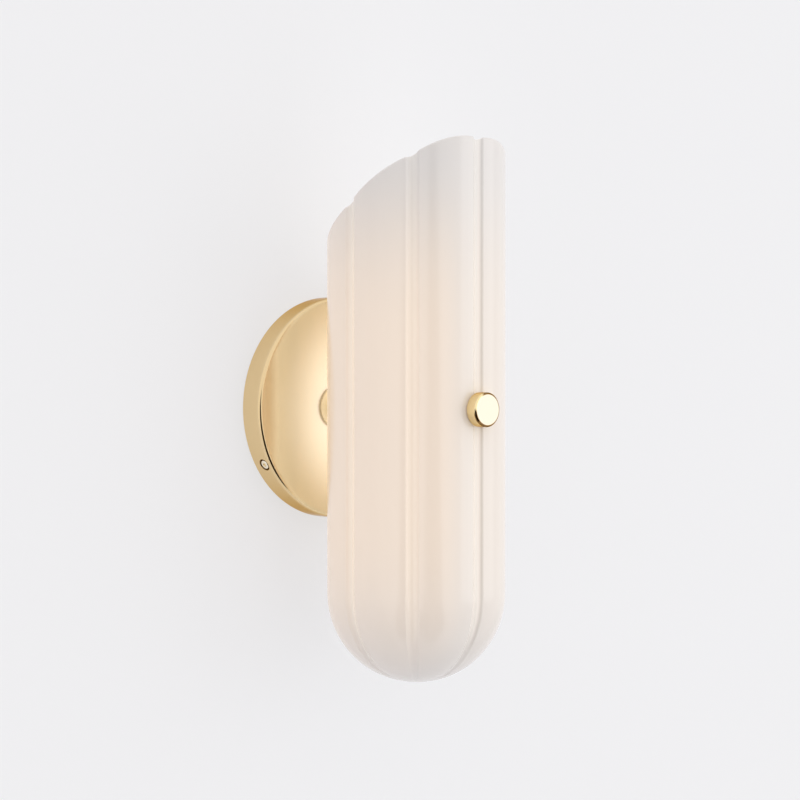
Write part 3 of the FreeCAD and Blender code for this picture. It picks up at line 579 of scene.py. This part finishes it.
@dataclass(frozen=True)
class FrostedLamp(Finish):
    """A lamp's frosted globe, alight."""

    name: str = "frosted_glass"
    body: Colour = (0.60, 0.59, 0.56)
    light: Colour = (1.0, 0.82, 0.56)
    dim_light: Colour = (0.62, 0.42, 0.22)
    seen_light: Colour = (0.37, 0.30, 0.19)
    seen_dim_light: Colour = (0.26, 0.19, 0.10)
    bright_start: Span = (30.0 * MM, 50.0 * MM)
    bright_end: Span = (62.0 * MM, 80.0 * MM)
    roughness: float = 0.42
    roughness_spread: float = 0.12
    frost_scale: float = 1800.0
    frost_depth: float = 0.02 * MM

    def shade(self, shader: Shader) -> bpy.types.NodeSocket:
        """A fine frost, brighter midway along, that gives more light than a lens would take in.

        Args:
            shader: the shader to build it in.

        Returns:
            The surface.
        """
        place = shader.place()
        up = shader.split(place)[2]
        frost = shader.noise(place, self.frost_scale)
        reach = (up * up) ** 0.5
        middle = shader.fade(reach, *self.bright_start) * (
            1.0 - shader.fade(reach, *self.bright_end))
        given = shader.mix(middle, self.dim_light, self.light)
        seen = shader.mix(middle, self.seen_dim_light, self.seen_light)
        return shader.surface({
            "Base Color": self.body,
            "Roughness": self.roughness + self.roughness_spread * frost,
            "Emission Color": shader.mix(shader.seen(), given, seen),
            "Emission Strength": 1.0,
            "Normal": shader.bump(frost, self.frost_depth),
        })


@dataclass(frozen=True)
class LampLight(Finish):
    """The light-giving column inside a lamp."""

    name: str = "lamp_emitter"
    phosphor: Colour = (0.92, 0.78, 0.36)
    light: Colour = (1.0, 0.80, 0.50)
    roughness: float = 0.5
    roughness_spread: float = 0.1
    row_scale: float = 700.0

    def shade(self, shader: Shader) -> bpy.types.NodeSocket:
        """Rows of bright chips under a yellow phosphor.

        Args:
            shader: the shader to build it in.

        Returns:
            The surface.
        """
        up = shader.split(shader.place())[2]
        height = shader.node("ShaderNodeCombineXYZ", {}, {"Z": up}).outputs["Vector"]
        rows = shader.noise(height, self.row_scale)
        return shader.surface({
            "Base Color": self.phosphor,
            "Roughness": self.roughness + self.roughness_spread * rows,
            "Emission Color": shader.mix(rows, self.phosphor, self.light),
            "Emission Strength": 1.0,
        })


@dataclass(frozen=True)
class Ceramic(Finish):
    """Unglazed pressed ceramic, faintly speckled."""

    name: str = "holder_ceramic"
    body: Colour = (0.86, 0.84, 0.79)
    speck: Colour = (0.62, 0.58, 0.50)
    speck_scale: float = 1500.0
    speck_fade: Span = (0.66, 0.74)
    roughness: float = 0.55
    roughness_spread: float = 0.25
    chalk_scale: float = 900.0
    chalk_depth: float = 0.05 * MM

    def shade(self, shader: Shader) -> bpy.types.NodeSocket:
        """Small dark specks on a chalky body.

        Args:
            shader: the shader to build it in.

        Returns:
            The surface.
        """
        place = shader.place()
        specks = shader.fade(shader.noise(place, self.speck_scale, detail=3.0), *self.speck_fade)
        chalk = shader.noise(place, self.chalk_scale, detail=4.0)
        return shader.surface({
            "Base Color": shader.mix(specks, self.body, self.speck),
            "Roughness": self.roughness + self.roughness_spread * chalk,
            "Normal": shader.bump(chalk, self.chalk_depth),
        })


@dataclass(frozen=True)
class Moulded(Finish):
    """Moulded plastic or rubber with a fine sparked texture."""

    name: str
    light: Colour
    dark: Colour
    roughness: float
    roughness_spread: float = 0.12
    drift_scale: float = 120.0
    grain_scale: float = 1600.0
    grain_depth: float = 0.03 * MM

    def shade(self, shader: Shader) -> bpy.types.NodeSocket:
        """A slow drift of colour and a fine grain.

        Args:
            shader: the shader to build it in.

        Returns:
            The surface.
        """
        place = shader.place()
        drift = shader.noise(place, self.drift_scale)
        grain = shader.noise(place, self.grain_scale)
        return shader.surface({
            "Base Color": shader.mix(drift, self.light, self.dark),
            "Roughness": self.roughness + self.roughness_spread * grain,
            "Normal": shader.bump(grain, self.grain_depth),
        })


@dataclass(frozen=True)
class WallPaint(Finish):
    """Matt wall paint, which can be seen through from behind."""

    name: str = "wall_paint"
    paint: Colour = (0.86, 0.86, 0.88)
    plain: Colour = (0.93, 0.93, 0.945)
    even: float = 0.64

    def shade(self, shader: Shader) -> bpy.types.NodeSocket:
        """Plain paint in front and nothing behind, so that the light's back can be seen.

        Args:
            shader: the shader to build it in.

        Returns:
            The surface.
        """
        matt = shader.surface({"Base Color": self.paint, "Roughness": 1.0,
                               "Specular IOR Level": 0.0})
        plain = shader.node("ShaderNodeEmission", {}, {"Color": self.plain}).outputs[0]
        front = shader.node("ShaderNodeMixShader", {},
                            {0: shader.seen() * self.even, 1: matt, 2: plain}).outputs[0]
        clear = shader.node("ShaderNodeBsdfTransparent", {}, {}).outputs[0]
        behind = shader.node("ShaderNodeNewGeometry", {}, {}).outputs["Backfacing"]
        return shader.node("ShaderNodeMixShader", {}, {0: behind, 1: front, 2: clear}).outputs[0]


@dataclass(frozen=True)
class FloorPaint(Finish):
    """The plain pale floor."""

    name: str = "floor_paint"
    paint: Colour = (0.86, 0.86, 0.87)
    roughness: float = 0.9

    def shade(self, shader: Shader) -> bpy.types.NodeSocket:
        """A matt pale floor."""
        return shader.surface({"Base Color": self.paint, "Roughness": self.roughness})


class Finishes(Enum):
    """The finishes of the light's pieces."""

    BRASS = PolishedBrass()
    CANOPY_BRASS = CanopyBrass()
    SATIN_BRASS = PolishedBrass("satin_brass", pale=(0.99, 0.95, 0.84), deep=(0.98, 0.92, 0.79),
                                roughness=0.36)
    SCREW_BRASS = PolishedBrass("screw_brass", pale=(0.99, 0.93, 0.78), deep=(0.97, 0.89, 0.72))
    KNOB_BRASS = KnobBrass()
    STEEL = PlatedSteel()
    EARTH_BRASS = PlainMetal("earth_brass", (0.80, 0.64, 0.33), (0.62, 0.47, 0.22))
    BRONZE = PlainMetal("contact_bronze", (0.80, 0.50, 0.30), (0.60, 0.35, 0.20),
                        roughness=0.3)
    OPAL = OpalGlass()
    FROSTED = FrostedLamp()
    LAMP_LIGHT = LampLight()
    CERAMIC = Ceramic()
    TERMINAL = Moulded("terminal_plastic", (0.84, 0.84, 0.80), (0.78, 0.77, 0.72),
                       roughness=0.45)
    LAMP_BASE = Moulded("lamp_plastic", (0.88, 0.88, 0.86), (0.83, 0.83, 0.80),
                        roughness=0.25)
    SEAL = Moulded("seal", (0.80, 0.79, 0.76), (0.72, 0.71, 0.67),
                   roughness=0.6, grain_scale=900.0)
    WIRE = Moulded("wire_jacket", (0.84, 0.83, 0.78), (0.76, 0.74, 0.68),
                   roughness=0.4, grain_scale=2500.0)


# ---------------------------------------------------------------- sub-assemblies

def give_finish(node: str, finish: Finishes) -> None:
    """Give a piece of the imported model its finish.

    Args:
        node: the piece's name.
        finish: its finish.
    """
    slots = frame["nodes"][node].data.materials
    slots.clear()
    slots.append(finish.value.material())
    log.info("%s: %s", node, finish.value.name)


@dataclass
class SubAssembly:
    """A group of pieces that belong together."""

    finishes: ClassVar[Mapping[str, Finishes]] = {}

    def build(self) -> None:
        """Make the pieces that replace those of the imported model."""

    def dress(self) -> None:
        """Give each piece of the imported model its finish."""
        for node, finish in self.finishes.items():
            give_finish(node, finish)


@dataclass
class Canopy(SubAssembly):
    """The brass canopy, with its rim screws and collar."""

    finishes: ClassVar[Mapping[str, Finishes]] = {
        "canopy": Finishes.CANOPY_BRASS,
        "rim_screws": Finishes.SCREW_BRASS,
        "collar": Finishes.SATIN_BRASS,
        "rear_gasket": Finishes.SEAL,
    }


@dataclass
class WallFixings(SubAssembly):
    """The steel plate on the wall box, with its terminals."""

    finishes: ClassVar[Mapping[str, Finishes]] = {
        "wall_plate": Finishes.STEEL,
        "terminal_block": Finishes.TERMINAL,
        "terminal_screws": Finishes.STEEL,
        "block_screw": Finishes.STEEL,
        "earth_screw": Finishes.EARTH_BRASS,
        "earth_washer": Finishes.EARTH_BRASS,
    }


def add_object(name: str, mesh: bmesh.types.BMesh, finish: Finishes,
               replaced: str) -> bpy.types.Object:
    """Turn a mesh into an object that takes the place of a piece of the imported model.

    Args:
        name: the object's name.
        mesh: its mesh, which is freed.
        finish: its finish.
        replaced: the piece that it replaces.

    Returns:
        The object.
    """
    bmesh.ops.recalc_face_normals(mesh, faces=mesh.faces)
    data = bpy.data.meshes.new(name)
    mesh.to_mesh(data)
    mesh.free()
    data.materials.append(finish.value.material())
    data.shade_smooth()
    data.set_sharp_from_angle(angle=SHARP_ANGLE)
    piece = bpy.data.objects.new(name, data)
    bpy.context.scene.collection.objects.link(piece)
    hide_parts(replaced)
    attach(piece, frame["nodes"][replaced]["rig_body"])
    log.info("%s: %d faces", name, len(data.polygons))
    return piece


@dataclass(frozen=True)
class Thread:
    """A screw thread on a rod along Y, hollow if it has a bore.

    Attributes:
        node: the plain rod that the thread replaces.
        pitch: the thread's pitch.
        depth: how deep it is cut.
        bore_r: the bore's radius, or 0 for a solid rod.
        steps: how many points go round one turn.
    """

    node: str
    pitch: float
    depth: float
    bore_r: float = 0.0
    steps: int = 40

    # Where the crest, the flanks and the root lie along one pitch, each with its depth.
    profile: ClassVar[Tuple[Span, ...]] = (
        (0.0, 0.0), (0.14, 0.0), (0.46, 1.0), (0.68, 1.0), (1.0, 0.0))
    spare_turns: ClassVar[int] = 2
    lead_in: ClassVar[float] = 1.5

    def build(self) -> bpy.types.Object:
        """Make the threaded rod and put it in the plain one's place.

        Returns:
            The rod.
        """
        low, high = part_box(self.node)
        axis = (low + high) / 2
        mesh = bmesh.new()
        self._helix(mesh, axis, (high.x - low.x) / 2, low.y, high.y)
        if self.bore_r:
            join_rings(mesh, [add_ring(mesh, axis, along, self.bore_r, self.steps)
                              for along in (low.y - self.pitch, high.y + self.pitch)])
        for end, outward in ((low.y, -1.0), (high.y, 1.0)):
            self._face(mesh, end, outward)
        return add_object(self.node + "_threaded", mesh, Finishes.STEEL, self.node)

    def _helix(self, mesh: bmesh.types.BMesh, axis: Vector, radius: float,
               start: float, end: float) -> None:
        """Wind the thread's surface, at least half a pitch past both ends.

        Args:
            mesh: the mesh to add it to.
            axis: a point on the rod's axis.
            radius: the crest's radius.
            start: where the rod starts along Y.
            end: where it ends along Y.
        """
        turns = math.ceil((end - start) / self.pitch) + self.spare_turns
        before = []
        for step in range(turns * self.steps + 1):
            angle = 2 * math.pi * step / self.steps
            base = start + (step / self.steps - self.lead_in) * self.pitch
            line = []
            for place, deep in self.profile:
                reach = radius - deep * self.depth
                line.append(mesh.verts.new((axis.x + reach * math.cos(angle),
                                            base + place * self.pitch,
                                            axis.z + reach * math.sin(angle))))
            for first, second, third, fourth in zip(before, before[1:], line[1:], line):
                mesh.faces.new((first, second, third, fourth))
            before = line
        bmesh.ops.remove_doubles(mesh, verts=mesh.verts, dist=WELD)

    @staticmethod
    def _face(mesh: bmesh.types.BMesh, end: float, outward: float) -> None:
        """Cut the rod square and close its end.

        Args:
            mesh: the mesh to cut.
            end: where the end lies along Y.
            outward: the way out of the rod along Y.
        """
        everything = [*mesh.verts, *mesh.edges, *mesh.faces]
        bmesh.ops.bisect_plane(mesh, geom=everything, dist=WELD, plane_co=(0.0, end, 0.0),
                               plane_no=(0.0, outward, 0.0), clear_outer=True)
        rim = [edge for edge in mesh.edges if edge.is_boundary
               and all(abs(vert.co.y - end) < WELD for vert in edge.verts)]
        bmesh.ops.triangle_fill(mesh, edges=rim, use_beauty=True)


@dataclass(frozen=True)
class HexNut:
    """A hexagon nut along Y whose corners are turned off at both ends.

    Attributes:
        node: the plain nut that it replaces.
        bore_r: the radius of its bore.
        steps: how many points go round it, six times a whole number.
    """

    node: str
    bore_r: float
    steps: int = 72

    chamfer_slope: ClassVar[float] = math.tan(math.radians(30))
    face_share: ClassVar[float] = 0.95

    def build(self) -> bpy.types.Object:
        """Make the nut and put it in the plain one's place.

        Returns:
            The nut.
        """
        low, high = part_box(self.node)
        axis = (low + high) / 2
        corner_r = (high.z - low.z) / 2
        flat_r = corner_r * math.cos(HALF_SIDE)
        face_r = self.face_share * flat_r
        mesh = bmesh.new()
        rings = [add_ring(mesh, axis, low.y, self.bore_r, self.steps),
                 add_ring(mesh, axis, low.y, face_r, self.steps),
                 self._outline(mesh, axis, low.y, flat_r, 1.0),
                 self._outline(mesh, axis, high.y, flat_r, -1.0),
                 add_ring(mesh, axis, high.y, face_r, self.steps),
                 add_ring(mesh, axis, high.y, self.bore_r, self.steps)]
        rings.append(rings[0])
        join_rings(mesh, rings)
        return add_object(self.node + "_chamfered", mesh, Finishes.STEEL, self.node)

    def _outline(self, mesh: bmesh.types.BMesh, axis: Vector, along: float, flat_r: float,
                 inward: float) -> List[bmesh.types.BMVert]:
        """The hexagon's outline where the chamfer meets it.

        Args:
            mesh: the mesh to add it to.
            axis: a point on the nut's axis.
            along: where the nut's face lies along Y.
            flat_r: the distance from the axis to a flat.
            inward: the way into the nut along Y.

        Returns:
            The points.
        """
        points = []
        for step in range(self.steps):
            angle = 2 * math.pi * step / self.steps
            off_flat = (angle + HALF_SIDE) % (2 * HALF_SIDE) - HALF_SIDE
            reach = flat_r / math.cos(off_flat)
            drop = (reach - self.face_share * flat_r) * self.chamfer_slope
            points.append(mesh.verts.new((axis.x + reach * math.cos(angle),
                                          along + inward * drop,
                                          axis.z + reach * math.sin(angle))))
        return points


def add_ring(mesh: bmesh.types.BMesh, axis: Vector, along: float, radius: float,
             steps: int) -> List[bmesh.types.BMVert]:
    """Add a round ring of points about an axis along Y.

    Args:
        mesh: the mesh to add them to.
        axis: a point on the axis.
        along: where the ring lies along Y.
        radius: its radius.
        steps: how many points it has.

    Returns:
        The points.
    """
    points = []
    for step in range(steps):
        angle = 2 * math.pi * step / steps
        points.append(mesh.verts.new((axis.x + radius * math.cos(angle), along,
                                      axis.z + radius * math.sin(angle))))
    return points


def join_rings(mesh: bmesh.types.BMesh, rings: Sequence[List[bmesh.types.BMVert]]) -> None:
    """Join closed rings of points, one to the next.

    Args:
        mesh: the mesh to add the faces to.
        rings: the rings, all of the same number of points.
    """
    for ring, following in zip(rings, rings[1:]):
        count = len(ring)
        for step in range(count):
            after = (step + 1) % count
            mesh.faces.new((ring[step], ring[after], following[after], following[step]))


@dataclass
class Arm(SubAssembly):
    """The arm on its threaded nipple, and the carrier of the lampholders."""

    finishes: ClassVar[Mapping[str, Finishes]] = {
        "nipple_washer": Finishes.STEEL,
        "arm_tube": Finishes.BRASS,
        "lamp_carrier": Finishes.BRASS,
        "lampholder_screws": Finishes.STEEL,
        "upper_wires": Finishes.WIRE,
        "lower_wires": Finishes.WIRE,
    }
    nipple: Thread = Thread("threaded_nipple", pitch=1.0 * MM, depth=0.55 * MM, bore_r=3.5 * MM)
    nipple_nut: HexNut = HexNut("nipple_nut", bore_r=5.05 * MM)

    def build(self) -> None:
        """Cut the nipple's thread and chamfer its nut."""
        self.nipple.build()
        self.nipple_nut.build()


@dataclass
class LampPair(SubAssembly):
    """Both lamps, in their holders."""

    sides: ClassVar[Tuple[str, ...]] = ("upper", "lower")
    pieces: ClassVar[Mapping[str, Finishes]] = {
        "lampholder": Finishes.CERAMIC,
        "contacts": Finishes.BRONZE,
        "lamp_base": Finishes.LAMP_BASE,
        "lamp_pins": Finishes.STEEL,
        "lamp_globe": Finishes.FROSTED,
        "lamp_core": Finishes.LAMP_LIGHT,
    }

    def dress(self) -> None:
        """Give the pieces of both lamps their finishes."""
        for side in self.sides:
            for piece, finish in self.pieces.items():
                give_finish(f"{side}_{piece}", finish)


@dataclass
class FrontHardware(SubAssembly):
    """The rod, nuts, gaskets and knob that hold the shade."""

    finishes: ClassVar[Mapping[str, Finishes]] = {
        "inner_gasket": Finishes.SEAL,
        "knob_gasket": Finishes.SEAL,
        "knob": Finishes.KNOB_BRASS,
    }
    rod: Thread = Thread("front_rod", pitch=1.0 * MM, depth=0.55 * MM)
    nuts: Tuple[HexNut, ...] = (HexNut("rod_lock_nut", bore_r=3.05 * MM),
                                HexNut("glass_stop_nut", bore_r=3.05 * MM))

    def build(self) -> None:
        """Cut the rod's thread and chamfer its nuts."""
        self.rod.build()
        for nut in self.nuts:
            nut.build()


@dataclass
class Shade(SubAssembly):
    """The fluted opal glass."""

    finishes: ClassVar[Mapping[str, Finishes]] = {"glass_shade": Finishes.OPAL}


# ---------------------------------------------------------------- studio

@dataclass
class Studio:
    """The wall, the floor, the room's light, the key light and the camera."""

    wall_y: float = 0.0005
    hole_r: float = 0.0585
    wall_reach: float = 8.0
    floor_drop: float = 2.0
    floor_front: float = 0.9
    camera_at: Point = (-0.701, -0.8365, 0.0166)
    camera_aim: Point = (0.6687, 0.7434, -0.0117)
    lens: float = 89.6
    sensor: float = 36.0
    room_light: Colour = (1.0, 0.99, 0.985)
    backdrop: Colour = (0.872, 0.872, 0.888)
    dark_patch: Colour = (0.02, 0.008, 0.0)
    dark_patch_aim: Point = (-0.42, -0.66, -0.45)
    dark_patch_squash: float = 0.5
    dark_patch_r: float = 0.34
    dark_patch_edge: float = 0.06
    key_at: Point = (1.74, -2.05, 0.30)
    key_aim: Point = (0.0, -0.07, 0.0)
    key_size: float = 1.76
    key_power: float = 6.9
    steps: int = 96

    def build(self) -> None:
        """Make the whole studio."""
        self._wall()
        self._floor()
        self._world()
        self._key_light()
        self._camera()

    def _stage(self, name: str, mesh: bmesh.types.BMesh, finish: Finish) -> None:
        """Add a piece of the stage.

        Args:
            name: its name.
            mesh: its mesh, which is freed.
            finish: its finish.
        """
        data = bpy.data.meshes.new(name)
        mesh.to_mesh(data)
        mesh.free()
        data.materials.append(finish.material())
        piece = bpy.data.objects.new(name, data)
        bpy.context.scene.collection.objects.link(piece)
        log.info("%s: stage", name)

    def _wall(self) -> None:
        """The wall, with the wall box's round hole behind the canopy."""
        mesh = bmesh.new()
        inner, outer = [], []
        for step in range(self.steps):
            angle = 2 * math.pi * (step + 0.5) / self.steps
            across, up = math.cos(angle), math.sin(angle)
            reach = self.wall_reach / max(abs(across), abs(up))
            inner.append(mesh.verts.new((self.hole_r * across, self.wall_y, self.hole_r * up)))
            outer.append(mesh.verts.new((reach * across, self.wall_y, reach * up)))
        for step in range(self.steps):
            after = (step + 1) % self.steps
            mesh.faces.new((inner[step], outer[step], outer[after], inner[after]))
        for face in mesh.faces:
            face.normal_update()
            if face.normal.y > 0:
                face.normal_flip()
        self._stage("studio_wall", mesh, WallPaint())

    def _floor(self) -> None:
        """The floor, in front of the wall and behind it."""
        mesh = bmesh.new()
        reach, front = self.wall_reach, self.floor_front
        corners = ((-reach, -front), (reach, -front), (reach, reach), (-reach, reach))
        mesh.faces.new([mesh.verts.new((x, y, -self.floor_drop)) for x, y in corners])
        self._stage("studio_floor", mesh, FloorPaint())

    def _world(self) -> None:
        """A plain pale room all round, with a dark patch below the camera for metal to reflect."""
        world = bpy.data.worlds.new("studio_world")
        bpy.context.scene.world = world
        world.use_nodes = True
        shader = Shader(world.node_tree)
        direction = shader.node("ShaderNodeTexCoord", {}, {}).outputs["Generated"]
        offset = shader.vector("SUBTRACT", direction, self.dark_patch_aim)
        away = shader.length(shader.vector("MULTIPLY", offset, (1.0, 1.0, self.dark_patch_squash)))
        patch = 1.0 - shader.fade(away, self.dark_patch_r, self.dark_patch_r + self.dark_patch_edge)
        room = shader.mix(patch, self.room_light, self.dark_patch)
        colour = shader.mix(shader.ray("Camera"), room, self.backdrop)
        background = shader.node("ShaderNodeBackground", {}, {"Color": colour})
        shader.node("ShaderNodeOutputWorld", {}, {"Surface": background.outputs[0]})

    def _key_light(self) -> None:
        """The soft square studio light, which faces the shade from the right."""
        data = bpy.data.lights.new("key_light", "AREA")
        data.size = self.key_size
        data.energy = self.key_power
        light = bpy.data.objects.new("key_light", data)
        light.location = self.key_at
        aim = Vector(self.key_aim) - light.location
        light.rotation_euler = aim.to_track_quat("-Z", "Y").to_euler()
        bpy.context.scene.collection.objects.link(light)

    def _camera(self) -> None:
        """The camera, at the photograph's angle."""
        data = bpy.data.cameras.new("camera")
        data.lens = self.lens
        data.sensor_width = self.sensor
        camera = bpy.data.objects.new("camera", data)
        camera.location = self.camera_at
        camera.rotation_euler = Vector(self.camera_aim).to_track_quat("-Z", "Y").to_euler()
        bpy.context.scene.collection.objects.link(camera)
        bpy.context.scene.camera = camera


def main() -> None:
    """Build the wall light and its studio."""
    logging.basicConfig(level=logging.INFO, format="%(message)s")
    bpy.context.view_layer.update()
    bpy.context.scene.view_settings.view_transform = "Standard"
    Studio().build()
    for part in (Canopy(), WallFixings(), Arm(), LampPair(), FrontHardware(), Shade()):
        log.info("building %s", type(part).__name__)
        part.build()
        part.dress()


if __name__ == "__main__":
    main()
